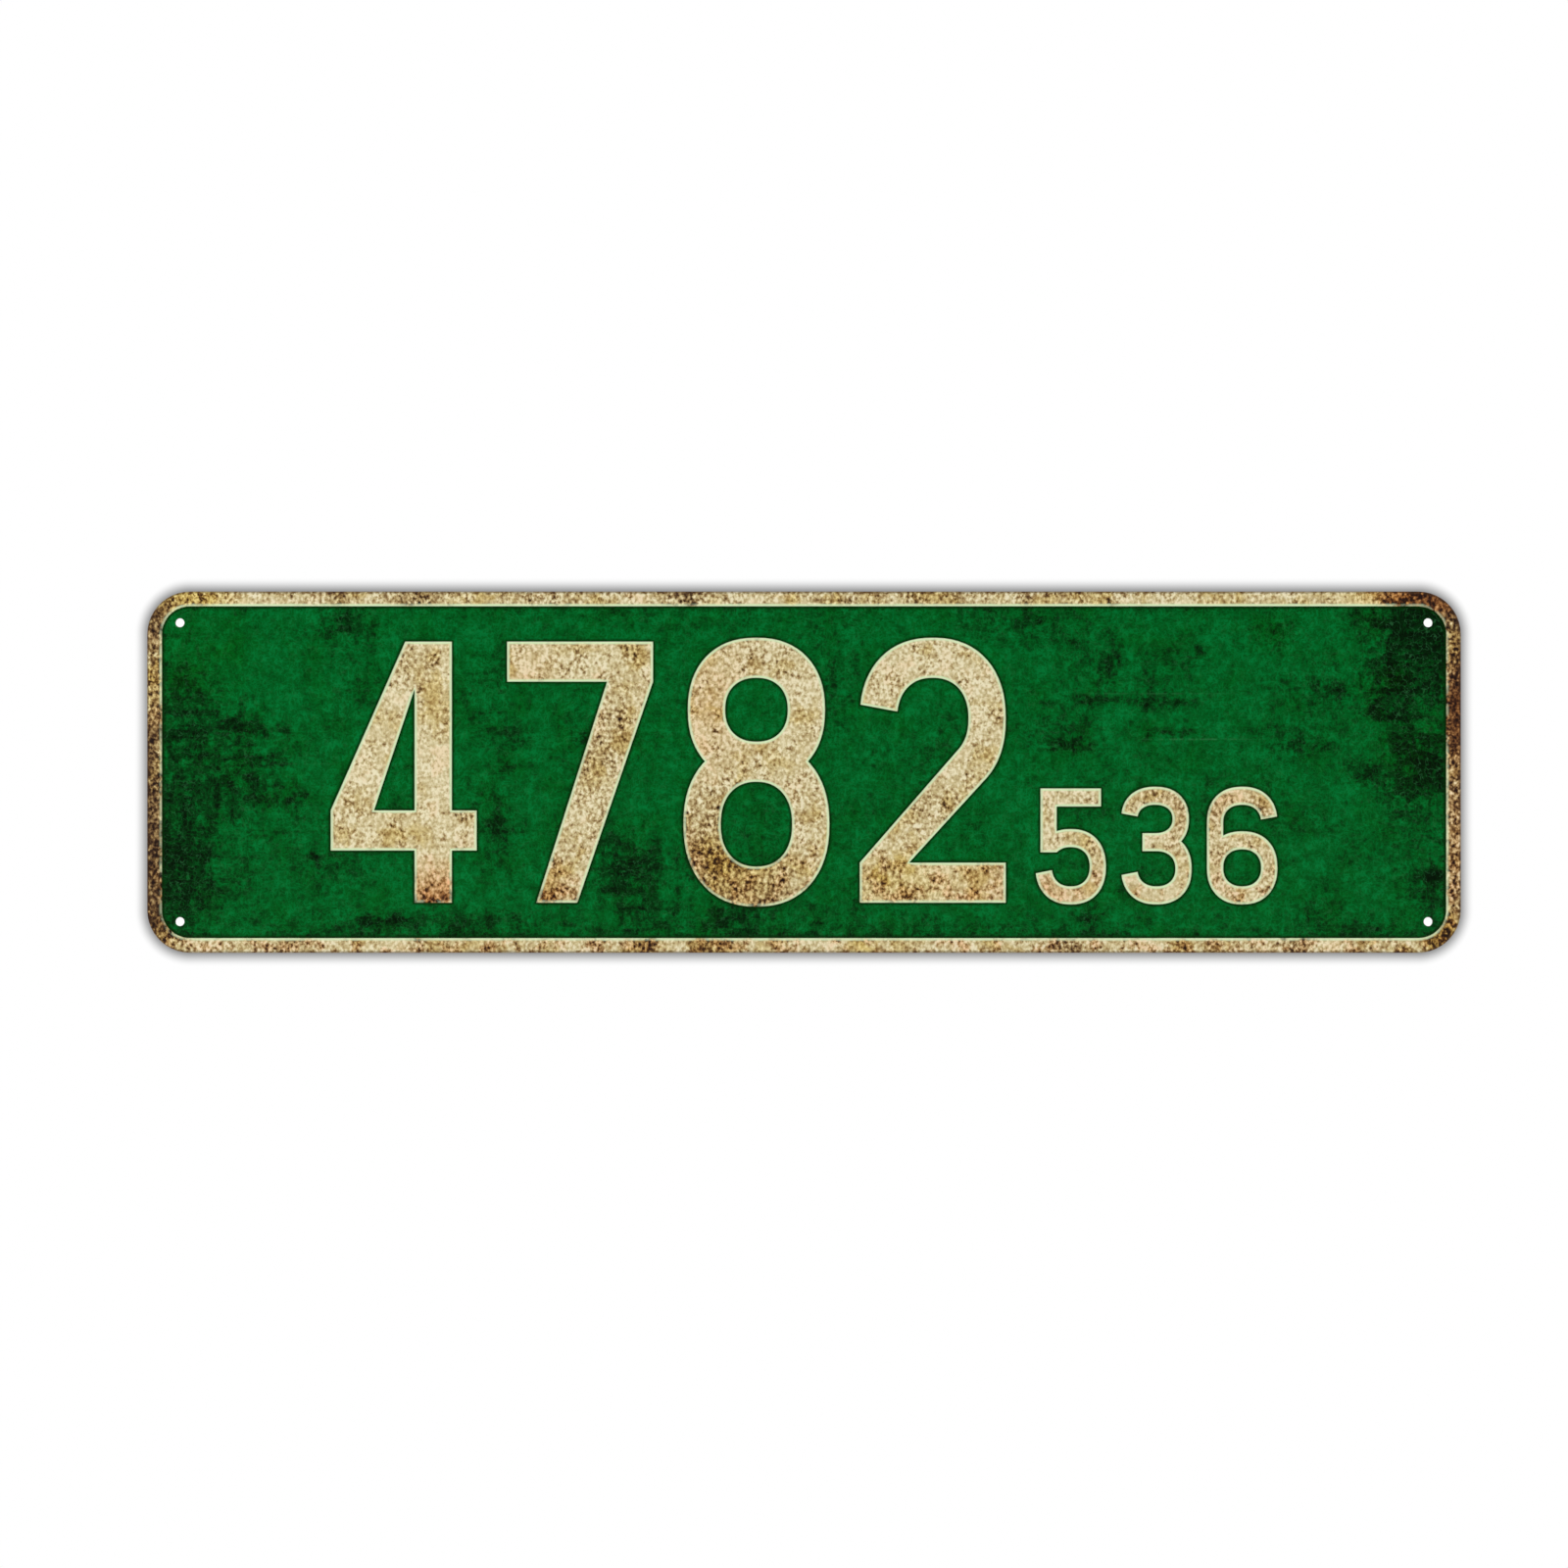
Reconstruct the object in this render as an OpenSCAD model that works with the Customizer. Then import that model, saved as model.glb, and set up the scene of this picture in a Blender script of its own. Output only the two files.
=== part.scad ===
// Flat decorative street sign: a round-cornered sheet-metal blank with a hole
// near each corner, coated cream, and a green coat printed over it. The border
// and the numerals are left out of the green coat, so the cream shows there.
// It hangs upright: the front faces -Y, the back lies in the plane y = 0, and
// the origin is the middle of the back.

/* [Sheet] */
// Length of the sheet
sign_w = 400; // [330:1:700]
// Height of the sheet
sign_h = 110; // [100:1:200]
// Thickness of the sheet
sheet_t = 0.8; // [0.5:0.1:3]
// Radius of the sheet's corners
corner_r = 13; // [6:0.5:20]
// Width of the broken edge all round, on both faces
edge_break = 0.15; // [0.05:0.05:0.2]

/* [Screw holes] */
// Diameter of each hole
hole_d = 2.7; // [2:0.1:5]
// Hole centre to the sheet's left or right edge
hole_inset_x = 10; // [8.5:0.5:16]
// Hole centre to the sheet's top or bottom edge
hole_inset_z = 9.5; // [8.5:0.5:14]

/* [Green coat] */
// Thickness of the green coat
coat_t = 0.1; // [0.05:0.05:0.3]
// Width of the cream border left round the green coat
border_w = 4.5; // [2:0.5:5.5]

/* [Large numerals] */
// Height of a large numeral
large_h = 79.5; // [60:0.5:84]
// Width of a large numeral
large_w = 44.5; // [36:0.5:48]
// Width of its upright strokes
large_stem = 11.4; // [8:0.2:13]
// Width of its level strokes
large_bar = 12.2; // [8:0.2:14]
// Space between large numerals
large_gap = 9.2; // [5:0.2:11]

/* [Small numerals] */
// Height of a small numeral
small_h = 34.8; // [26:0.2:60]
// Width of a small numeral
small_w = 21.5; // [16:0.5:24]
// Width of its upright strokes
small_stem = 5; // [3:0.2:6]
// Width of its level strokes
small_bar = 5.5; // [3:0.2:6]
// Space between small numerals
small_gap = 4.6; // [3:0.2:6]
// Space between the large numerals and the small ones
group_gap = 9; // [6:0.5:14]

/* [Hidden] */
$fn = 96;
large_numerals = [4, 7, 8, 2];
small_numerals = [5, 3, 6];
arc_steps = 16;      // straight pieces in each quarter of a bowl
squareness = 2.25;   // 2 makes a bowl's outline an ellipse, more makes it fuller
overshoot = 0.015;   // share of the height by which a bowl passes the line it stands on
open_end = 8;        // angle off a bowl's middle line at which an open stroke ends
lap = 0.01;          // how far strokes of one numeral run into each other
cut_lap = 1;         // how far a cut runs past the faces that it leaves through

field_w = sign_w - 2 * border_w;
field_h = sign_h - 2 * border_w;
field_r = corner_r - border_w;
large_n = len(large_numerals);
small_n = len(small_numerals);
large_pitch = large_w + large_gap;
small_pitch = small_w + small_gap;
small_row_w = small_n * small_pitch - small_gap;
legend_w = large_n * large_pitch - large_gap + group_gap + small_row_w;
baseline_z = -large_h / 2;

cream = [0.84, 0.74, 0.55];
green = [0.0, 0.38, 0.17];

// Turns a shape drawn flat, with its thickness up, to stand with its face to -Y
module standing() rotate([90, 0, 0]) children();

// Section through the sheet's rim, from corner_r inside the edge out to the edge
module rim_section() {
    flat = corner_r - edge_break;
    polygon([
        [0, 0], [flat, 0], [corner_r, edge_break],
        [corner_r, sheet_t - edge_break], [flat, sheet_t], [0, sheet_t]
    ]);
}

// One straight side of the rim, run along X with its edge towards +Y
module rim_side(run) {
    rotate([90, 0, 90])
        linear_extrude(run, center = true)
            rim_section();
}

// The blank: a flat middle, four straight sides and four turned corners
module blank() {
    inner_w = sign_w - 2 * corner_r;
    inner_h = sign_h - 2 * corner_r;
    translate([-inner_w / 2, -inner_h / 2, 0])
        cube([inner_w, inner_h, sheet_t]);
    for (turn = [0, 180]) {
        rotate(turn) {
            translate([0, inner_h / 2, 0]) rim_side(inner_w);
            translate([-inner_w / 2, 0, 0]) rotate(90) rim_side(inner_h);
        }
    }
    for (sx = [-1, 1], sy = [-1, 1]) {
        first = sx > 0 ? (sy > 0 ? 0 : 270) : (sy > 0 ? 90 : 180);
        translate([sx * inner_w / 2, sy * inner_h / 2, 0])
            rotate(first)
                rotate_extrude(angle = 90) rim_section();
    }
}

// The four screw holes, punched through the sheet and its coats together
module screw_holes() {
    for (sx = [-1, 1], sy = [-1, 1])
        translate([sx * (sign_w / 2 - hole_inset_x), sy * (sign_h / 2 - hole_inset_z), -cut_lap])
            cylinder(d = hole_d, h = sheet_t + coat_t + 2 * cut_lap);
}

// Outline of the green coat, its corners concentric with the sheet's
module field() {
    square([field_w - 2 * field_r, field_h], center = true);
    square([field_w, field_h - 2 * field_r], center = true);
    for (sx = [-1, 1], sy = [-1, 1])
        translate([sx * (field_w / 2 - field_r), sy * (field_h / 2 - field_r)]) circle(field_r);
}

// A span drawn in by the same width at both ends
function inward(span, by) = [span[0] + by, span[1] - by];

// Where an angle falls in a span that a bowl fills, from its cosine or sine
function along(span, part) =
    (span[0] + span[1] + (span[1] - span[0]) * sign(part) * pow(abs(part), 2 / squareness)) / 2;

// Points of the outline of a bowl that fills the spans x and y, from angle a0 to a1
function bowl_point(x, y, a) = [along(x, cos(a)), along(y, sin(a))];
function bowl_arc(x, y, a0, a1) =
    let (n = ceil(abs(a1 - a0) / 90 * arc_steps))
    [for (i = [0:n]) bowl_point(x, y, a0 + (a1 - a0) * i / n)];

// Open bowl: a curved stroke, stem wide at its sides and bar wide at top and bottom
module bowl(x, y, stem, bar, a0, a1) {
    polygon(concat(
        bowl_arc(x, y, a0, a1),
        bowl_arc(inward(x, stem), inward(y, bar), a1, a0)
    ));
}

// Closed bowl
module ring(x, y, stem, bar) {
    difference() {
        polygon(bowl_arc(x, y, 0, 360));
        polygon(bowl_arc(inward(x, stem), inward(y, bar), 0, 360));
    }
}

// An open bowl runs straight into a slanting stroke, which meets the base
module numeral_2(w, h, stem, bar) {
    x = [0, w];
    y = [(0.41 - overshoot) * h, (1 + overshoot) * h];
    tail = -45;            // angle at which the bowl turns into the slant
    slant = 1.32 * stem;   // width of the slant where it meets the base
    bowl(x, y, stem, bar, tail, 180 - open_end);
    polygon([
        bowl_point(x, y, tail),
        bowl_point(inward(x, stem), inward(y, bar), tail),
        [0, bar - lap],
        [slant, bar - lap]
    ]);
    square([w, bar]);
}

// Two open bowls share a level stroke at the waist
module numeral_3(w, h, stem, bar) {
    over = overshoot * h;
    waist = 0.53 * h;
    tongue = [0.3 * w, 0.5 * w];
    bowl([0, 0.96 * w], [waist - bar / 2, h + over], stem, bar, -90, 180 - open_end);
    bowl([0, w], [-over, waist + bar / 2], stem, bar, open_end - 180, 90);
    translate([tongue[0], waist - bar / 2]) square([tongue[1] - tongue[0], bar]);
}

// A stem, a crossbar and a slanting stroke, round a three-cornered eye
module numeral_4(w, h, stem, bar) {
    right = 0.83 * w;         // right side of the stem
    left = right - stem;
    arm = 0.2 * h;            // underside of the crossbar
    peak = left - stem / 4;   // where the slant starts at the top
    slant = 1.16 * stem;      // width of the slant, measured level
    difference() {
        polygon([
            [left, 0], [right, 0], [right, arm], [w, arm], [w, arm + bar], [right, arm + bar],
            [right, h], [peak, h], [0, arm + bar], [0, arm], [left, arm]
        ]);
        polygon([[slant, arm + bar], [left, arm + bar], [left, h - 1.1 * slant]]);
    }
}

// A flag, a short stem and an open bowl that leaves the foot of the stem
module numeral_5(w, h, stem, bar) {
    x = [0, w];
    y = [-overshoot * h, (0.63 + overshoot) * h];
    left = 0.07 * w;
    right = 0.93 * w;
    join = 180 - acos(pow((w / 2 - left - stem) / (w / 2 - stem), squareness / 2));
    foot = along(inward(y, bar), sin(join));
    translate([left, h - bar]) square([right - left, bar]);
    translate([left, foot]) square([stem, h - foot]);
    bowl(x, y, stem, bar, open_end - 180, join);
}

// A closed bowl, with a stem up its left side that turns over at the top
module numeral_6(w, h, stem, bar) {
    over = overshoot * h;
    x = [0, w];
    eye = [-over, 0.61 * h + over];
    hook = [0.4 * h - over, h + over];
    ring(x, eye, stem, bar);
    bowl(x, hook, stem, bar, open_end, 180);
    translate([0, along(eye, 0) - lap])
        square([stem, along(hook, 0) - along(eye, 0) + 2 * lap]);
}

// A flag and a slanting stroke down from its right end
module numeral_7(w, h, stem, bar) {
    foot = 0.2 * w;
    slant = 1.1 * stem;             // width of the slant at its foot, measured level
    inside = w - 1.12 * slant;      // where the slant leaves the flag
    polygon([
        [0, h], [0, h - bar], [inside, h - bar], [foot, 0],
        [foot + slant, 0], [w, h - bar], [w, h]
    ]);
}

// Two closed bowls share a level stroke at the waist
module numeral_8(w, h, stem, bar) {
    over = overshoot * h;
    waist = 0.54 * h;
    ring(inward([0, w], 0.03 * w), [waist - bar / 2, h + over], stem, bar);
    ring([0, w], [-over, waist + bar / 2], stem, bar);
}

module numeral(n, w, h, stem, bar) {
    if (n == 2) numeral_2(w, h, stem, bar);
    if (n == 3) numeral_3(w, h, stem, bar);
    if (n == 4) numeral_4(w, h, stem, bar);
    if (n == 5) numeral_5(w, h, stem, bar);
    if (n == 6) numeral_6(w, h, stem, bar);
    if (n == 7) numeral_7(w, h, stem, bar);
    if (n == 8) numeral_8(w, h, stem, bar);
}

// Both groups of numerals, on one baseline and centred on the sheet
module legend() {
    for (i = [0:large_n - 1])
        translate([i * large_pitch - legend_w / 2, baseline_z])
            numeral(large_numerals[i], large_w, large_h, large_stem, large_bar);
    for (i = [0:small_n - 1])
        translate([i * small_pitch + legend_w / 2 - small_row_w, baseline_z])
            numeral(small_numerals[i], small_w, small_h, small_stem, small_bar);
}

module cream_sheet() {
    color(cream)
        standing()
            difference() {
                blank();
                screw_holes();
            }
}

module green_coat() {
    color(green)
        standing()
            difference() {
                translate([0, 0, sheet_t])
                    linear_extrude(coat_t)
                        difference() {
                            field();
                            legend();
                        }
                screw_holes();
            }
}

cream_sheet();
green_coat();
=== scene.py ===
import math

import bmesh
import bpy
from mathutils import Matrix, Vector
from mathutils.bvhtree import BVHTree


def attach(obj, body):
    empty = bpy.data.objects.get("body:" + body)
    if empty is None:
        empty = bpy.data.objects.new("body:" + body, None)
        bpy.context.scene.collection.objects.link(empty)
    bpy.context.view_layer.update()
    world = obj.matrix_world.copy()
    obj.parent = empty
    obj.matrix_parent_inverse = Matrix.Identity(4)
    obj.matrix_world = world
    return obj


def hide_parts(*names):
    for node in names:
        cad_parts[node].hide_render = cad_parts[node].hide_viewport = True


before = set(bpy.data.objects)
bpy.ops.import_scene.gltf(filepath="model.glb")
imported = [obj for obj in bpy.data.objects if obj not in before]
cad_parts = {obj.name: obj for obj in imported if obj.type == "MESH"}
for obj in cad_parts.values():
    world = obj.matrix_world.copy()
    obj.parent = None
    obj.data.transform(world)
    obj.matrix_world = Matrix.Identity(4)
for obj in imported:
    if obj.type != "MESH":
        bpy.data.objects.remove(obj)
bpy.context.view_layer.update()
mm = 0.001
print("Frame loaded:", ", ".join(sorted(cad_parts)))


# Nodes

class Wire:  # a node's output, which adds Math nodes when it stands in an expression
    def __init__(self, finish, socket):
        self.finish = finish
        self.socket = socket

    def maths(self, operation, first, second):
        return self.finish.node("Math", {"operation": operation}, {0: first, 1: second})

    def __add__(self, other):
        return self.maths("ADD", self, other)

    def __radd__(self, other):
        return self.maths("ADD", other, self)

    def __sub__(self, other):
        return self.maths("SUBTRACT", self, other)

    def __rsub__(self, other):
        return self.maths("SUBTRACT", other, self)

    def __mul__(self, other):
        return self.maths("MULTIPLY", self, other)

    def __rmul__(self, other):
        return self.maths("MULTIPLY", other, self)

    def larger(self, other):
        return self.maths("MAXIMUM", self, other)

    def smaller(self, other):
        return self.maths("MINIMUM", self, other)

    def beside(self, output):  # another output of the same node
        return Wire(self.finish, self.socket.node.outputs[output])


class Finish:  # the nodes of a material or of the world
    def __init__(self, owner):
        owner.use_nodes = True
        self.owner = owner
        self.tree = owner.node_tree
        self.tree.nodes.clear()

    # Every node is made here: its settings first, then its values and links
    def node(self, kind, settings=None, values=None, output=0):
        made = self.tree.nodes.new("ShaderNode" + kind)
        for name, value in (settings or {}).items():
            if name == "stops":
                self.setStops(made.color_ramp, value)
            else:
                setattr(made, name, value)
        for name, value in (values or {}).items():
            if isinstance(value, Wire):
                self.tree.links.new(value.socket, made.inputs[name])
            else:
                made.inputs[name].default_value = value
        return Wire(self, made.outputs[output]) if made.outputs else None

    def setStops(self, ramp, stops):
        while len(ramp.elements) < len(stops):
            ramp.elements.new(1.0)
        for element, (position, colour) in zip(ramp.elements, stops):
            element.position = position
            element.color = colour

    def vector(self, operation, *values, output=0):
        return self.node("VectorMath", {"operation": operation}, dict(enumerate(values)), output)

    def millimetres(self):  # the place on the object
        coords = self.node("TexCoord", output="Object")
        return self.vector("MULTIPLY", coords, (1 / mm, 1 / mm, 1 / mm))

    def noise(self, place, scale, detail=2.0, roughness=0.5):
        values = {"Vector": place, "Scale": scale, "Detail": detail, "Roughness": roughness}
        return self.node("TexNoise", None, values)

    # A noise drawn out along X or Z
    def streaks(self, place, alongX, alongZ, detail=2.0, roughness=0.5):
        drawn = self.vector("MULTIPLY", place, (alongX, 1.0, alongZ))
        return self.noise(drawn, 1.0, detail, roughness)

    # The place, pushed about so that what is laid on it gets ragged edges
    def ragged(self, place, reach, scale):
        values = {"Vector": place, "Scale": scale, "Detail": 3.0, "Roughness": 0.6}
        push = self.node("TexNoise", None, values, output="Color")
        centred = self.vector("SUBTRACT", push, (0.5, 0.5, 0.5))
        return self.vector("MULTIPLY_ADD", centred, (reach, 0.0, reach), place)

    # 0 up to low, 1 from high on, and smooth between them
    def fade(self, value, low, high):
        return self.node(
            "MapRange",
            {"interpolation_type": "SMOOTHSTEP"},
            {"Value": value, "From Min": low, "From Max": high},
        )

    # Colours have sockets 6 and 7 of a Mix node, and come out of socket 2
    def mix(self, share, first, second, blend="MIX"):
        settings = {"data_type": "RGBA", "blend_type": blend}
        return self.node("Mix", settings, {0: share, 6: first, 7: second}, output=2)

    # Soft oval spots, each given as x, z, half width, half height and strength.
    # They are so deep that they are the same on every layer of the sign.
    def spots(self, place, found):
        depth = 1e4
        ball = {"gradient_type": "SPHERICAL"}
        total = 0.0
        for x, z, wide, tall, strength in found:
            values = {"Vector": place, "Location": (x, 0.0, z), "Scale": (wide, depth, tall)}
            centred = self.node("Mapping", {"vector_type": "TEXTURE"}, values)
            spot = self.node("TexGradient", ball, {"Vector": centred}, output="Fac")
            total = spot * strength + total
        return total

    # 1 along the lines where a noise passes through its middle value, 0 away from them
    def ridges(self, noise, width):
        off = self.node("Math", {"operation": "ABSOLUTE"}, {0: noise - 0.5})
        return 1.0 - self.fade(off, 0.0, width)

    # How far inside the outline of a round-cornered rectangle a place lies
    def inside(self, place, wide, tall, radius):
        level = self.vector("MULTIPLY", place, (1.0, 0.0, 1.0))
        folded = self.vector("ABSOLUTE", level)
        past = self.vector("SUBTRACT", folded, (wide / 2 - radius, 0.0, tall / 2 - radius))
        across = self.node("SeparateXYZ", None, {0: past}, output="X")
        straight = across.larger(across.beside("Z")).smaller(0.0)
        corner = self.vector("MAXIMUM", past, (0.0, 0.0, 0.0))
        return radius - self.vector("LENGTH", corner, output="Value") - straight

    # Read from the attribute that finishPiece lays on a mesh
    def fromPrint(self):
        return self.node("Attribute", {"attribute_name": "fromPrint"}, output="Fac")

    # 1 for what the camera sees itself, and 1 for what a mirror or clear matter shows it
    def rays(self):
        seen = self.node("LightPath", output="Is Camera Ray")
        mirrored = seen.beside("Is Glossy Ray").larger(seen.beside("Is Transmission Ray"))
        return seen, mirrored

    def surface(self, values, height, relief):
        bump = self.node("Bump", None, {"Strength": 1.0, "Distance": relief, "Height": height})
        shader = self.node("BsdfPrincipled", None, {**values, "Normal": bump})
        self.node("OutputMaterial", None, {"Surface": shader})
        return self.owner


def paint(red, green, blue):  # a colour as it is written on a swatch, from 0 to 255
    parts = []
    for part in (red / 255, green / 255, blue / 255):
        if part <= 0.04045:
            parts.append(part / 12.92)
        else:
            parts.append(((part + 0.055) / 1.055) ** 2.4)
    return (*parts, 1.0)


# The sign's outline, in millimetres

signSize = (400.0, 110.0)
cornerRadius = 13.0
borderWidth = 4.5


# Camera, wall, floor and light

studio = {
    "lens": 85.0,                          # in millimetres, as the sensor is
    "sensor": 36.0,
    "clip": (0.01, 30.0),                  # nearest and furthest that the camera sees
    "eye": (-0.0061, -1.1281, -0.0036),    # straight in front of the sign
    "wallGap": 0.001,                      # from the sign's back to the wall
    "wallSize": 3.0,
    "wallRise": 0.3,                       # from the sign's middle up to the wall's
    "shade": 0.8,                          # the part of the wall's white that the sign takes
    "shadeReach": (-4.4, 1.1),             # mm inside the outline at which it starts and is full
    "shadeEnd": (5.0, 7.0),                # where it ends again, so that the screw holes show white
    "floorLevel": -0.32,
    "floorSize": 8.0,
    "floorTone": 0.86,
    "floorGlow": 0.78,                     # how much of it shows as plain white
    "skyLight": 0.55,                      # the sky as the surfaces feel it
    "skyShown": 1.0,                       # the sky as the camera and a reflection see it
    "darkSide": (0.0, 0.4),                # where it starts to darken towards the front, and ends
    "darkness": 0.95,
}

# Name, place, width and watts. All point at the sign, and none stands where the front mirrors it.
lamps = [
    ("leftLamp", (-1.5, -0.75, 0.35), 1.0, 20.5),
    ("rightLamp", (1.5, -0.75, 0.3), 1.0, 16.5),
    ("rearLamp", (0.5, 1.5, 0.8), 1.4, 14.0),
]


def makeCamera():
    camera = bpy.data.objects.new("camera", bpy.data.cameras.new("camera"))
    camera.data.lens = studio["lens"]
    camera.data.sensor_width = studio["sensor"]
    camera.data.clip_start, camera.data.clip_end = studio["clip"]
    camera.location = studio["eye"]
    camera.rotation_euler = Vector((0, 1, 0)).to_track_quat("-Z", "Z").to_euler()
    bpy.context.scene.collection.objects.link(camera)
    bpy.context.scene.camera = camera


def makeLamps():
    for name, place, width, watts in lamps:
        lamp = bpy.data.objects.new(name, bpy.data.lights.new(name, "AREA"))
        lamp.data.shape = "DISK"
        lamp.data.size = width
        lamp.data.energy = watts
        lamp.location = place
        lamp.rotation_euler = (-Vector(place)).to_track_quat("-Z", "Y").to_euler()
        bpy.context.scene.collection.objects.link(lamp)


# In front of the sign the sky is dark but to the camera, so that the dark paint keeps its depth
def makeSky():
    sky = Finish(bpy.data.worlds.new("sky"))
    seen, mirrored = sky.rays()
    direction = sky.node("TexCoord", output="Generated")
    depth = sky.node("SeparateXYZ", None, {0: direction}, output="Y")
    bright = 1.0 - sky.fade(0.0 - depth, *studio["darkSide"]) * studio["darkness"]
    lit = bright * (mirrored * (studio["skyShown"] - studio["skyLight"]) + studio["skyLight"])
    level = lit + seen * (studio["skyShown"] - lit)
    light = sky.node("Background", None, {"Color": paint(255, 255, 255), "Strength": level})
    sky.node("OutputWorld", None, {"Surface": light})
    bpy.context.scene.world = sky.owner


def plainSheet(name, size, turn, place, material):
    bm = bmesh.new()
    bmesh.ops.create_grid(bm, x_segments=1, y_segments=1, size=size / 2)
    bmesh.ops.rotate(bm, verts=bm.verts, matrix=Matrix.Rotation(turn, 3, "X"))
    bmesh.ops.translate(bm, verts=bm.verts, vec=place)
    mesh = bpy.data.meshes.new(name)
    bm.to_mesh(mesh)
    bm.free()
    mesh.materials.append(material)
    made = bpy.data.objects.new(name, mesh)
    bpy.context.scene.collection.objects.link(made)


# The wall shows to the camera from its front only, so that it hides nothing of the back.
# It is white, with the sign's soft shade painted round the outline.
def wallFinish():
    wall = Finish(bpy.data.materials.new("wall"))
    seen = wall.node("LightPath", output="Is Camera Ray")
    behind = wall.node("NewGeometry", output="Backfacing")
    edge = wall.inside(wall.millimetres(), *signSize, cornerRadius)
    shade = wall.fade(edge, *studio["shadeReach"]) * (1.0 - wall.fade(edge, *studio["shadeEnd"]))
    white = wall.node("Emission", None, {"Strength": 1.0 - shade * studio["shade"]})
    clear = wall.node("BsdfTransparent")
    shown = wall.node("MixShader", None, {0: seen * (1.0 - behind), 1: clear, 2: white})
    wall.node("OutputMaterial", None, {"Surface": shown})
    return wall.owner


def floorFinish():
    floor = Finish(bpy.data.materials.new("floor"))
    tone = studio["floorTone"]
    pale = floor.node("BsdfDiffuse", None, {"Color": (tone, tone, tone, 1.0)})
    seen, mirrored = floor.rays()
    glow = seen.larger(mirrored) * studio["floorGlow"]
    white = floor.node("Emission", None, {"Strength": 1.0})
    shown = floor.node("MixShader", None, {0: glow, 1: pale, 2: white})
    floor.node("OutputMaterial", None, {"Surface": shown})
    return floor.owner


makeCamera()
makeLamps()
makeSky()
wallPlace = (0, studio["wallGap"], studio["wallRise"])
plainSheet("wall", studio["wallSize"], math.radians(90), wallPlace, wallFinish())
plainSheet("floor", studio["floorSize"], 0.0, (0, 0, studio["floorLevel"]), floorFinish())
print("Camera, lamps, sky, wall and floor made")


# The cream coat, with its rust-brown speckle

creamLook = {
    "tones": [
        (0.00, paint(30, 15, 8)),
        (0.20, paint(66, 44, 27)),
        (0.38, paint(118, 89, 54)),
        (0.56, paint(168, 140, 92)),
        (0.72, paint(203, 184, 134)),
        (0.86, paint(223, 209, 164)),
        (1.00, paint(242, 232, 198)),
    ],
    "rim": paint(222, 242, 196),      # where the green print feathers out over the cream
    "gold": paint(252, 239, 182),     # this and the next two multiply what lies under them
    "rust": paint(254, 211, 184),
    "pink": paint(255, 238, 226),
    "darkEdge": paint(70, 48, 30),        # a darker line along the outer edge
    "grains": (0.9, 0.774),           # in each millimetre, across and up
    "specks": 0.62,                   # in each millimetre, as the next three are
    "clumps": 0.2,
    "patches": 0.085,
    "clouds": 0.045,
    "feet": (-42.0, -14.0),           # heights between which the numerals' darker feet fade out
    "rimReach": (0.35, 1.05),         # mm from the print at which the rim starts to fade, and ends
    "darkEdgeReach": (0.3, 0.9),          # mm from the sheet's edge, the same for the dark edge line
    "plainTone": 0.82,                # where a clean place falls among the tones
    "contrast": 1.15,                 # of the grain there
    "dirtLimit": 1.25,
    "roughness": 0.46,
    "dirtyRoughness": 0.66,
    "specular": 0.12,
    "relief": 0.00006,                # metres
}

# Spots for each coat: x, z, half width, half height in millimetres, and strength
dirtSpots = [
    (-200, 10, 11, 70, 0.75),
    (-199, 43, 9, 9, 0.7),
    (-200, 13, 9, 6, 1.0),
    (-200, -24, 12, 34, 1.2),
    (-197, -47, 14, 14, 0.9),
    (200, 20, 11, 60, 0.9),
    (200, -44, 11, 44, 0.35),
    (190, 54, 22, 9, 1.5),
    (197, 47, 12, 12, 0.8),
    (200, 20, 9, 17, 1.4),
    (200, -10, 8, 8, 0.5),
    (194, -50, 5, 5, 0.6),
    (-148, 54, 8, 6, 0.4),
    (-118, 54, 14, 6, 0.5),
    (-38, 54, 8, 6, 0.5),
    (-48, -54, 6, 6, 0.6),
    (-31, -54, 6, 6, 0.5),
    (82, -54, 9, 6, 0.7),
    (148, -54, 8, 6, 0.5),
    (-142, 54, 4, 7, 0.8),
    (-34, 54, 5, 6, 0.7),
    (68, 54, 4, 7, 0.9),
    (-34, -28, 36, 28, 0.65),
    (-26, -42, 30, 10, 0.45),
    (-112, -40, 50, 11, 0.9),
    (20, -38, 24, 10, 0.25),
    (-190, 48, 12, 12, 0.5),
    (-70, 4, 12, 22, 0.35),
    (38, -8, 14, 10, 0.3),
]
rustSpots = [
    (190, 54, 22, 9, 1.2),
    (188, 54, 16, 8, 1.0),
    (200, 18, 10, 22, 1.2),
    (200, -18, 10, 30, 0.5),
    (-44, -30, 16, 20, 0.8),
    (-108, -38, 44, 14, 0.9),
    (70, -36, 30, 12, 0.4),
]
goldSpots = [
    (-186, 53, 18, 6, 1.3),
    (-199, 26, 7, 15, 0.6),
    (-199, -1, 7, 5, 0.5),
    (-196, -50, 10, 10, 0.6),
    (172, 54, 14, 8, 0.7),
    (-4, 53, 4, 4, 0.8),
    (198, 38, 5, 9, 0.8),
    (195, -50, 10, 10, 1.0),
    (18, -53, 5, 4, 0.8),
    (-20, -28, 20, 18, 0.9),
    (28, -34, 26, 12, 0.6),
]
cleanSpots = [
    (-160, 53, 20, 5, 0.7),
    (-16, 53, 11, 5, 0.9),
    (132, 53, 48, 5, 0.9),
    (-5, 14, 16, 18, 0.5),
    (-122, 4, 30, 46, 0.8),
    (34, 6, 28, 24, 0.6),
    (100, -34, 44, 12, 1.0),
    (-60, -54, 160, 3, 0.4),
]
pinkSpots = [
    (-30, 20, 22, 26, 0.8),
    (-85, 28, 14, 16, 0.6),
    (126, -10, 30, 12, 0.6),
]


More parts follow.
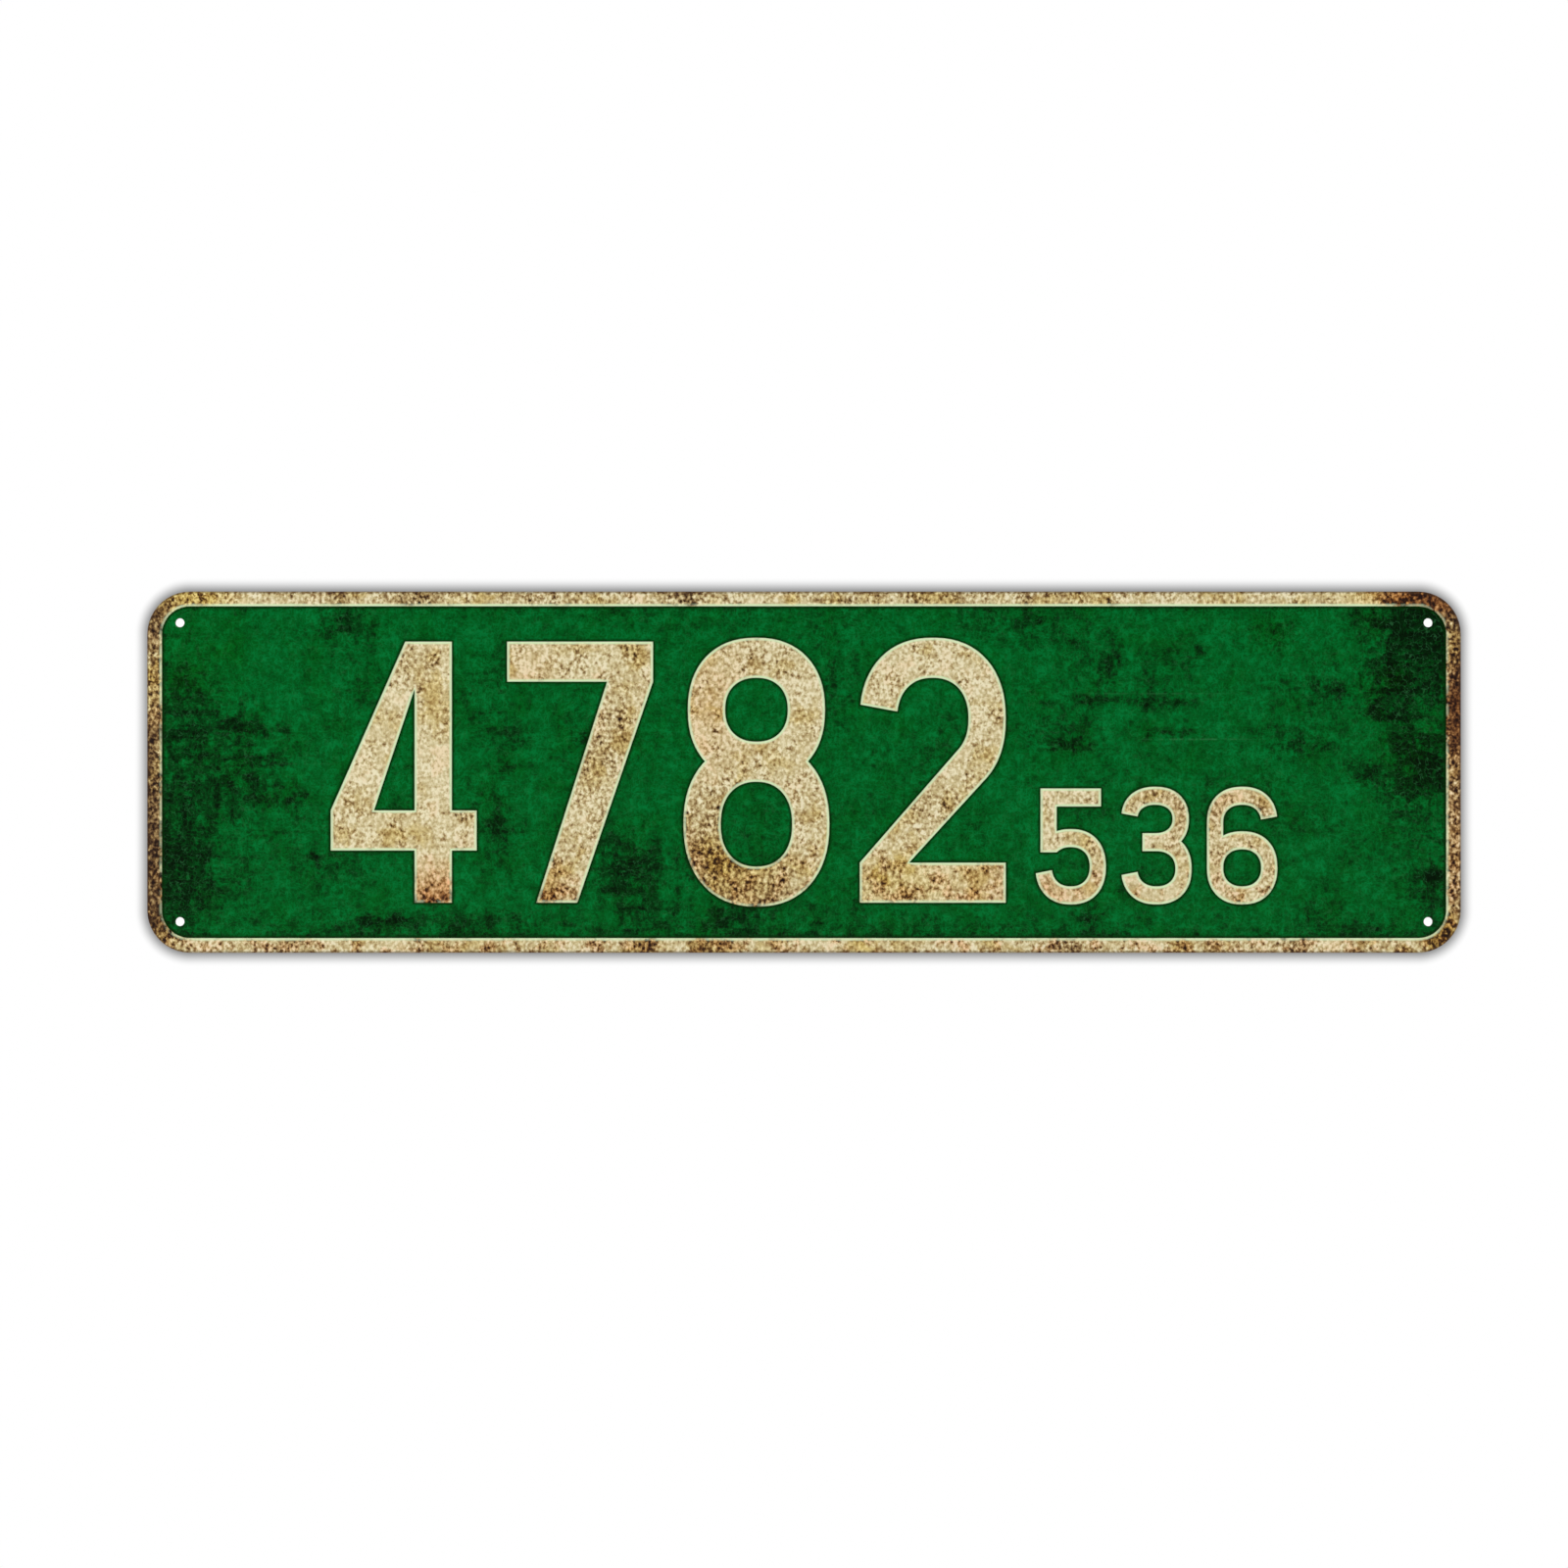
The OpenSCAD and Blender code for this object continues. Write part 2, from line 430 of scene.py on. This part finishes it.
def creamCoat():
    look = creamLook
    finish = Finish(bpy.data.materials.new("creamCoat"))
    place = finish.millimetres()
    ragged = finish.ragged(place, reach=9.0, scale=0.25)
    height = finish.node("SeparateXYZ", None, {0: place}, output="Z")
    grain = finish.streaks(place, *look["grains"], 2.0, 0.6)
    specks = finish.fade(finish.noise(place, look["specks"]), 0.54, 0.66)
    clumps = finish.noise(place, look["clumps"], 3.0, 0.6)
    patch = finish.noise(ragged, look["patches"], 3.0, 0.55)
    cloud = finish.noise(place, look["clouds"], 3.0, 0.55)
    edge = finish.inside(place, *signSize, cornerRadius)
    border = 1.0 - finish.fade(edge, borderWidth, borderWidth + 0.8)
    feet = 1.0 - finish.fade(height, *look["feet"])
    clean = finish.spots(ragged, cleanSpots)
    golden = finish.spots(ragged, goldSpots)

    # Dirt lies in clouds and clumps, at the numerals' feet and where the spots are
    dirt = finish.fade(cloud, 0.46, 0.7) * 0.25 + finish.fade(clumps, 0.5, 0.75) * 0.3
    dirt = dirt + feet * finish.fade(clumps, 0.4, 0.6) * 0.2 + border * 0.03
    dirt = dirt + finish.spots(ragged, dirtSpots) - clean * 0.3
    dirt = dirt.larger(0.0).smaller(look["dirtLimit"])

    # The grain stands out most where the coat is half dirty
    coarse = finish.fade(clumps, 0.4, 0.65)
    spread = look["contrast"] + coarse + dirt * (1.35 - dirt) * 1.6 - clean * 0.5
    tone = look["plainTone"] + (grain - 0.5) * spread - dirt * 0.42 + (patch - 0.5) * 0.7
    tone = tone - specks * (golden * 0.25 + border * 0.08 + 0.06)
    colour = finish.node("ValToRGB", {"stops": look["tones"]}, {"Fac": tone})

    gold = golden + finish.fade(1.0 - patch, 0.5, 0.68) * 0.6
    colour = finish.mix(gold, colour, look["gold"], "MULTIPLY")
    rust = finish.spots(ragged, rustSpots) + feet * finish.fade(clumps, 0.45, 0.65) * 0.5
    colour = finish.mix(rust, colour, look["rust"], "MULTIPLY")
    pink = finish.spots(ragged, pinkSpots) + finish.fade(patch, 0.55, 0.7) * 0.6
    colour = finish.mix(pink, colour, look["pink"], "MULTIPLY")

    rim = 1.0 - finish.fade(finish.fromPrint() + (grain - 0.5) * 0.5, *look["rimReach"])
    colour = finish.mix(rim * (1.0 - dirt * (coarse * 0.5 + 0.5)), colour, look["rim"])
    # A darker line runs along the sheet's outer edge
    darkEdge = 1.0 - finish.fade(edge + (grain - 0.5) * 1.2, *look["darkEdgeReach"])
    colour = finish.mix(darkEdge * 0.6, colour, look["darkEdge"])

    values = {
        "Base Color": colour,
        "Roughness": look["roughness"] + dirt * (look["dirtyRoughness"] - look["roughness"]),
        "Specular IOR Level": look["specular"],
    }
    return finish.surface(values, tone, look["relief"])


# The green print

greenLook = {
    "tones": [
        (0.00, paint(2, 20, 3)),
        (0.25, paint(3, 37, 8)),
        (0.52, paint(3, 64, 19)),
        (0.78, paint(0, 92, 31)),
        (1.00, paint(1, 117, 52)),
    ],
    "halo": paint(4, 40, 3),          # along the print's edges
    "pale": paint(52, 120, 70),       # fine squiggles and scratches
    "olive": paint(255, 236, 150),    # multiplies what lies under it
    "grit": 0.56,                     # in each millimetre, as the next four are
    "squiggles": 0.45,
    "mottle": 0.3,
    "patches": 0.09,
    "clouds": 0.04,
    "smears": ((0.05, 0.26), (0.2, 0.06)),    # level and upright ones, across and up
    "threads": ((0.35, 0.8), (0.8, 0.35)),    # the same
    "haloReach": (0.3, 1.1),          # mm from the edge at which the halo starts to fade, and ends
    "plainTone": 0.78,                # where a clean place falls among the tones
    "stainLimit": 1.9,
    "roughness": 0.34,
    "specular": 0.06,
    "relief": 0.00003,                # metres
}

stainSpots = [
    (-140, 46, 12, 8, 0.7),
    (-184, 11, 18, 18, 0.6),
    (-172, 15, 10, 12, 0.6),
    (-162, 12, 10, 5, 0.6),
    (-168, 4, 22, 4, 0.9),
    (-170, -3, 22, 3, 0.8),
    (-160, -8, 16, 3, 0.6),
    (-182, -10, 18, 9, 0.7),
    (-192, 0, 12, 70, 0.5),
    (-190, -24, 16, 26, 0.7),
    (-130, -47, 50, 7, 0.5),
    (-150, -28, 34, 18, 0.3),
    (-125, 1, 3, 3, 0.7),
    (-148, -27, 3, 3, 0.7),
    (-122, -45, 5, 4, 0.6),
    (-88, 11, 7, 7, 0.5),
    (-90, 1, 4, 4, 0.5),
    (-66, 10, 7, 3, 0.6),
    (-48, -43, 12, 6, 0.9),
    (-22, -42, 8, 8, 0.9),
    (9, 34, 14, 24, 0.4),
    (78, 25, 30, 26, 0.15),
    (82, 8, 12, 4, 0.5),
    (93, 32, 5, 5, 0.6),
    (4, -14, 5, 5, 0.5),
    (3, -25, 5, 5, 0.5),
    (-1, -32, 5, 5, 0.5),
    (17, -41, 5, 13, 0.6),
    (86, -43, 5, 10, 0.6),
    (72, -33, 3, 3, 0.5),
    (162, 25, 6, 5, 0.9),
    (143, 42, 9, 7, 0.5),
    (121, 37, 5, 4, 0.5),
    (105, 30, 3, 10, 0.6),
    (105, 21.5, 16, 4, 0.6),
    (86, 21.5, 18, 3, 0.4),
    (110, 12, 14, 3, 0.6),
    (80, 9, 16, 4, 0.35),
    (154, 8, 12, 3, 0.6),
    (177, 21, 12, 6, 1.1),
    (178, 31, 12, 18, 1.0),
    (184, 12, 12, 40, 0.5),
    (185, 2, 16, 26, 0.5),
    (30, -50, 150, 8, 0.45),
    (-100, -48, 60, 8, 0.45),
    (-188, -38, 26, 24, 0.6),
    (-34, -26, 8, 14, 0.9),
    (150, 26, 22, 10, 0.3),
    (-170, -12, 22, 26, 0.3),
    (-93, -18, 10, 18, 0.5),
    (-101, 18, 9, 12, 0.4),
    (-54, -28, 16, 16, 1.2),
    (-20, -44, 36, 7, 0.4),
    (62, 45, 26, 8, 0.6),
    (92, 35, 14, 12, 0.4),
    (-94, 28, 8, 14, 0.5),
    (90, -12, 14, 6, 0.4),
    (150, 11, 22, 13, 0.5),
    (178, 46, 20, 9, 0.9),
    (192, 8, 12, 16, 0.5),
    (194, -34, 18, 26, 0.9),
    (-50, 48, 60, 5, 0.25),
    (190, 40, 15, 24, 1.7),
    (190, -1, 9, 8, 0.9),
    (170, 0, 11, 6, 0.7),
    (191, -31, 3, 3, 0.8),
    (156, -44, 12, 10, 0.6),
    (173, -48, 12, 6, 0.7),
    (104, -45, 5, 4, 0.5),
]
brightSpots = [
    (-160, 39, 20, 16, 0.7),
    (-69, 45, 8, 7, 0.6),
    (168, -37, 7, 10, 0.6),
    (-30, 48, 30, 5, 0.3),
    (120, -42, 20, 10, 0.3),
]
scratchSpots = [
    (109, 23.9, 37, 0.35, 0.35),
    (119, 10.0, 24, 0.4, 0.6),
    (-152, 2.5, 16, 0.35, 0.25),
]
oliveSpots = [
    (180, 28, 7, 6, 1.0),
    (143, 42, 9, 7, 0.6),
    (-185, 35, 22, 20, 0.5),
    (185, 5, 12, 20, 0.5),
]


def greenCoat():
    look = greenLook
    finish = Finish(bpy.data.materials.new("greenCoat"))
    place = finish.millimetres()
    ragged = finish.ragged(place, reach=11.0, scale=0.22)
    bent = finish.ragged(place, reach=2.0, scale=0.6)
    curled = finish.ragged(place, reach=2.0, scale=0.7)
    grit = finish.noise(place, look["grit"])
    mottle = finish.noise(place, look["mottle"], 3.0, 0.7)
    patch = finish.noise(bent, look["patches"], 3.0, 0.6)
    cloud = finish.noise(place, look["clouds"], 3.0, 0.55)
    level, upright = [finish.streaks(bent, *lines, 4.0, 0.68) for lines in look["smears"]]
    smears = level.larger(upright)
    level, upright = [finish.streaks(bent, *lines, 1.0) for lines in look["threads"]]
    threads = finish.ridges(level, width=0.07).larger(finish.ridges(upright, width=0.07))
    squiggles = finish.ridges(finish.noise(curled, look["squiggles"], 1.0), width=0.025)
    scratches = finish.spots(place, scratchSpots) * finish.fade(grit, 0.38, 0.56)
    printSize = [side - 2 * borderWidth for side in signSize]
    edge = finish.inside(place, *printSize, cornerRadius - borderWidth)

    # Stain lies where the spots and clouds are and along the edge, and breaks up into smears
    stain = finish.spots(ragged, stainSpots) * 1.1 + finish.fade(cloud, 0.42, 0.72) * 0.35
    stain = stain + (1.0 - finish.fade(edge, 0.0, 3.0)) * 0.3
    stain = stain * (finish.fade(smears, 0.42, 0.68) * 0.9 + 0.5)
    stain = stain - finish.spots(ragged, brightSpots) * 0.3
    stain = stain.larger(0.0).smaller(look["stainLimit"])

    # Grit darkens the green all over, and closes up in the stains
    dark = finish.fade(grit + stain * 0.36, 0.56, 0.84)
    tone = look["plainTone"] + (mottle - 0.5) * 0.7 + (patch - 0.5) * 0.25
    tone = tone - (smears - 0.55) * 0.5 + (threads - 0.4) * (0.2 + stain * 0.14)
    tone = tone - dark * (0.19 + stain * 0.1) - stain * 0.2
    colour = finish.node("ValToRGB", {"stops": look["tones"]}, {"Fac": tone})

    olive = finish.spots(ragged, oliveSpots) + finish.fade(1.0 - patch, 0.45, 0.75) * 0.5
    colour = finish.mix(olive, colour, look["olive"], "MULTIPLY")
    colour = finish.mix(squiggles * (stain * 0.18 + 0.13) + scratches, colour, look["pale"])
    halo = 1.0 - finish.fade(finish.fromPrint() + (grit - 0.5) * 0.8, *look["haloReach"])
    colour = finish.mix(halo * 0.85, colour, look["halo"])

    values = {
        "Base Color": colour,
        "Roughness": look["roughness"] + (mottle - 0.5) * 0.3,
        "Specular IOR Level": look["specular"],
    }
    return finish.surface(values, tone, look["relief"])


# Bare metal, on the back and on the cut edge

metalLook = {
    "bright": paint(196, 195, 192),
    "dull": paint(168, 167, 164),
    "brushed": ((0.013, 2.4), (0.0071, 3.3)),    # in each millimetre, across and up
    "clouds": 0.03,
    "roughness": 0.38,
    "relief": 0.00001,                # metres
}


def bareMetal():
    look = metalLook
    finish = Finish(bpy.data.materials.new("bareMetal"))
    place = finish.millimetres()
    broad, fine = [finish.streaks(place, *lines, 3.0, 0.6) for lines in look["brushed"]]
    brushed = (broad + fine) * 0.5
    cloud = finish.noise(place, look["clouds"], 4.0, 0.6)
    share = finish.fade(brushed * 0.8 + cloud * 0.2, 0.36, 0.64)
    values = {
        "Base Color": finish.mix(share, look["dull"], look["bright"]),
        "Roughness": look["roughness"] + (cloud - 0.5) * 0.12 + (brushed - 0.5) * 0.2,
        "Metallic": 1.0,
    }
    return finish.surface(values, brushed, look["relief"])


cream = creamCoat()
green = greenCoat()
metal = bareMetal()
print("Finishes made: cream coat, green print, bare metal")


# The sheet and its print. Strips run along the print's edges so that the finishes can follow them.

shapes = {                        # in millimetres
    "front": -0.8,                # the sheet's front face
    "printFront": -0.9,
    "flatness": 0.01,             # how far a corner of such a face may lie off it
    "strips": (0.4, 0.5, 0.5),    # their widths
    "tries": 12,                  # in a sharp corner, where two strips meet
    "drawnBack": 0.6,             # the share of its width that a strip keeps at each try
    "stripMerge": 0.015,          # points that come nearer than this there are one point
    "nodeMerge": 0.03,            # the same in a node's mesh
    "step": 2.0,                  # the longest side of a strip's face
    "holes": (190.0, 45.5),       # middles of the screw holes, either side of the sign's middle
    "holeReach": 2.0,
}


def mergedCopy(name):
    bm = bmesh.new()
    bm.from_mesh(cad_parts[name].data)
    bmesh.ops.remove_doubles(bm, verts=bm.verts, dist=shapes["nodeMerge"] * mm)
    return bm


def liesAt(part, level):  # a face or an edge
    return all(abs(vert.co.y - level * mm) < shapes["flatness"] * mm for vert in part.verts)


def atHole(place):
    middle = Vector(shapes["holes"]) * mm
    return (Vector((abs(place.x), abs(place.z))) - middle).length < shapes["holeReach"] * mm


# Long edges are cut up, so that a strip is drawn in at a sharp corner only,
# and not along a whole stroke
def cutUp(bm, edges):
    for edge in edges:
        cuts = int(edge.calc_length() / (shapes["step"] * mm))
        if cuts:
            bmesh.ops.subdivide_edges(bm, edges=[edge], cuts=cuts)


# The upright faces of the print's edges, from which every distance to an edge is read
def findPrintEdges():
    bm = mergedCopy("green_coat")
    dropped = [f for f in bm.faces if abs(f.normal.y) > 0.5 or atHole(f.verts[0].co)]
    bmesh.ops.delete(bm, geom=dropped, context="FACES")
    tree = BVHTree.FromBMesh(bm)
    kept = {e for e in bm.edges if liesAt(e, shapes["front"])}
    bmesh.ops.delete(bm, geom=list(bm.faces), context="FACES_ONLY")
    bmesh.ops.delete(bm, geom=[e for e in bm.edges if e not in kept], context="EDGES")
    bmesh.ops.delete(bm, geom=[v for v in bm.verts if not v.link_edges], context="VERTS")
    cutUp(bm, list(bm.edges))
    outlines = bpy.data.meshes.new("printOutlines")
    bm.to_mesh(outlines)
    bm.free()
    return tree, outlines


# The front face of a copy is taken out, and every edge round the opening is cut up
def openFront(bm, level):
    front = [f for f in bm.faces if liesAt(f, level)]
    bmesh.ops.delete(bm, geom=front, context="FACES_ONLY")
    bmesh.ops.delete(bm, geom=[e for e in bm.edges if e.is_wire], context="EDGES")
    cutUp(bm, [e for e in bm.edges if e.is_boundary])
    return [e for e in bm.edges if e.is_boundary]


def fillFront(bm, edges):
    made = bmesh.ops.triangle_fill(bm, edges=edges, use_beauty=True, normal=(0, -1, 0))
    return [g for g in made["geom"] if isinstance(g, bmesh.types.BMFace)]


# In a sharp corner the strips of its two sides meet, so they are drawn back
# until no face is turned over
def addStrips(bm, faces):
    for width in shapes["strips"]:
        bmesh.ops.inset_region(bm, faces=faces, thickness=width * mm, use_boundary=True)
        inner = {v for f in faces for v in f.verts}
        partner = {}
        for vert in inner:
            for edge in vert.link_edges:
                if edge.other_vert(vert) not in inner:
                    partner[vert] = edge.other_vert(vert)
        for _ in range(shapes["tries"]):
            bm.normal_update()
            touched = {f for v in inner for f in v.link_faces}
            turned = {v for f in touched if f.normal.y > 0 for v in f.verts if v in partner}
            if not turned:
                break
            for vert in turned:
                vert.co = partner[vert].co.lerp(vert.co, shapes["drawnBack"])
    bmesh.ops.remove_doubles(bm, verts=bm.verts, dist=shapes["stripMerge"] * mm)


# Each point of a piece keeps its distance from the print's edges, in millimetres
def finishPiece(bm, name, node, materials):
    away = bm.verts.layers.float.new("fromPrint")
    for vert in bm.verts:
        vert[away] = printEdges.find_nearest(vert.co)[3] / mm
    mesh = bpy.data.meshes.new(name)
    bm.to_mesh(mesh)
    bm.free()
    for material in materials:
        mesh.materials.append(material)
    made = bpy.data.objects.new(name, mesh)
    bpy.context.scene.collection.objects.link(made)
    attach(made, "root")
    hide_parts(node)
    print(name, "made:", len(mesh.polygons), "faces")


# The sheet's front is filled again along the print's outlines, with strips on the cream side only
def makeSheet():
    bm = mergedCopy("cream_sheet")
    opened = openFront(bm, shapes["front"])
    holes = [e for e in opened if atHole(e.verts[0].co)]
    rim = [e for e in opened if e not in holes]
    bm.from_mesh(printOutlines)
    outlines = [e for e in bm.edges if e.is_wire]
    shown = fillFront(bm, rim + outlines)
    fillFront(bm, holes + outlines)
    bmesh.ops.recalc_face_normals(bm, faces=bm.faces)
    addStrips(bm, shown)
    bm.normal_update()
    for face in bm.faces:
        coated = face.normal.y < -0.5
        face.material_index = 0 if coated else 1
    finishPiece(bm, "signSheet", "cream_sheet", [cream, metal])


def makePrint():
    bm = mergedCopy("green_coat")
    shown = fillFront(bm, openFront(bm, shapes["printFront"]))
    bmesh.ops.recalc_face_normals(bm, faces=bm.faces)
    addStrips(bm, shown)
    finishPiece(bm, "greenPrint", "green_coat", [green])


printEdges, printOutlines = findPrintEdges()
makeSheet()
makePrint()
bpy.data.meshes.remove(printOutlines)

bpy.context.scene.view_settings.view_transform = "Standard"
print("Scene complete")
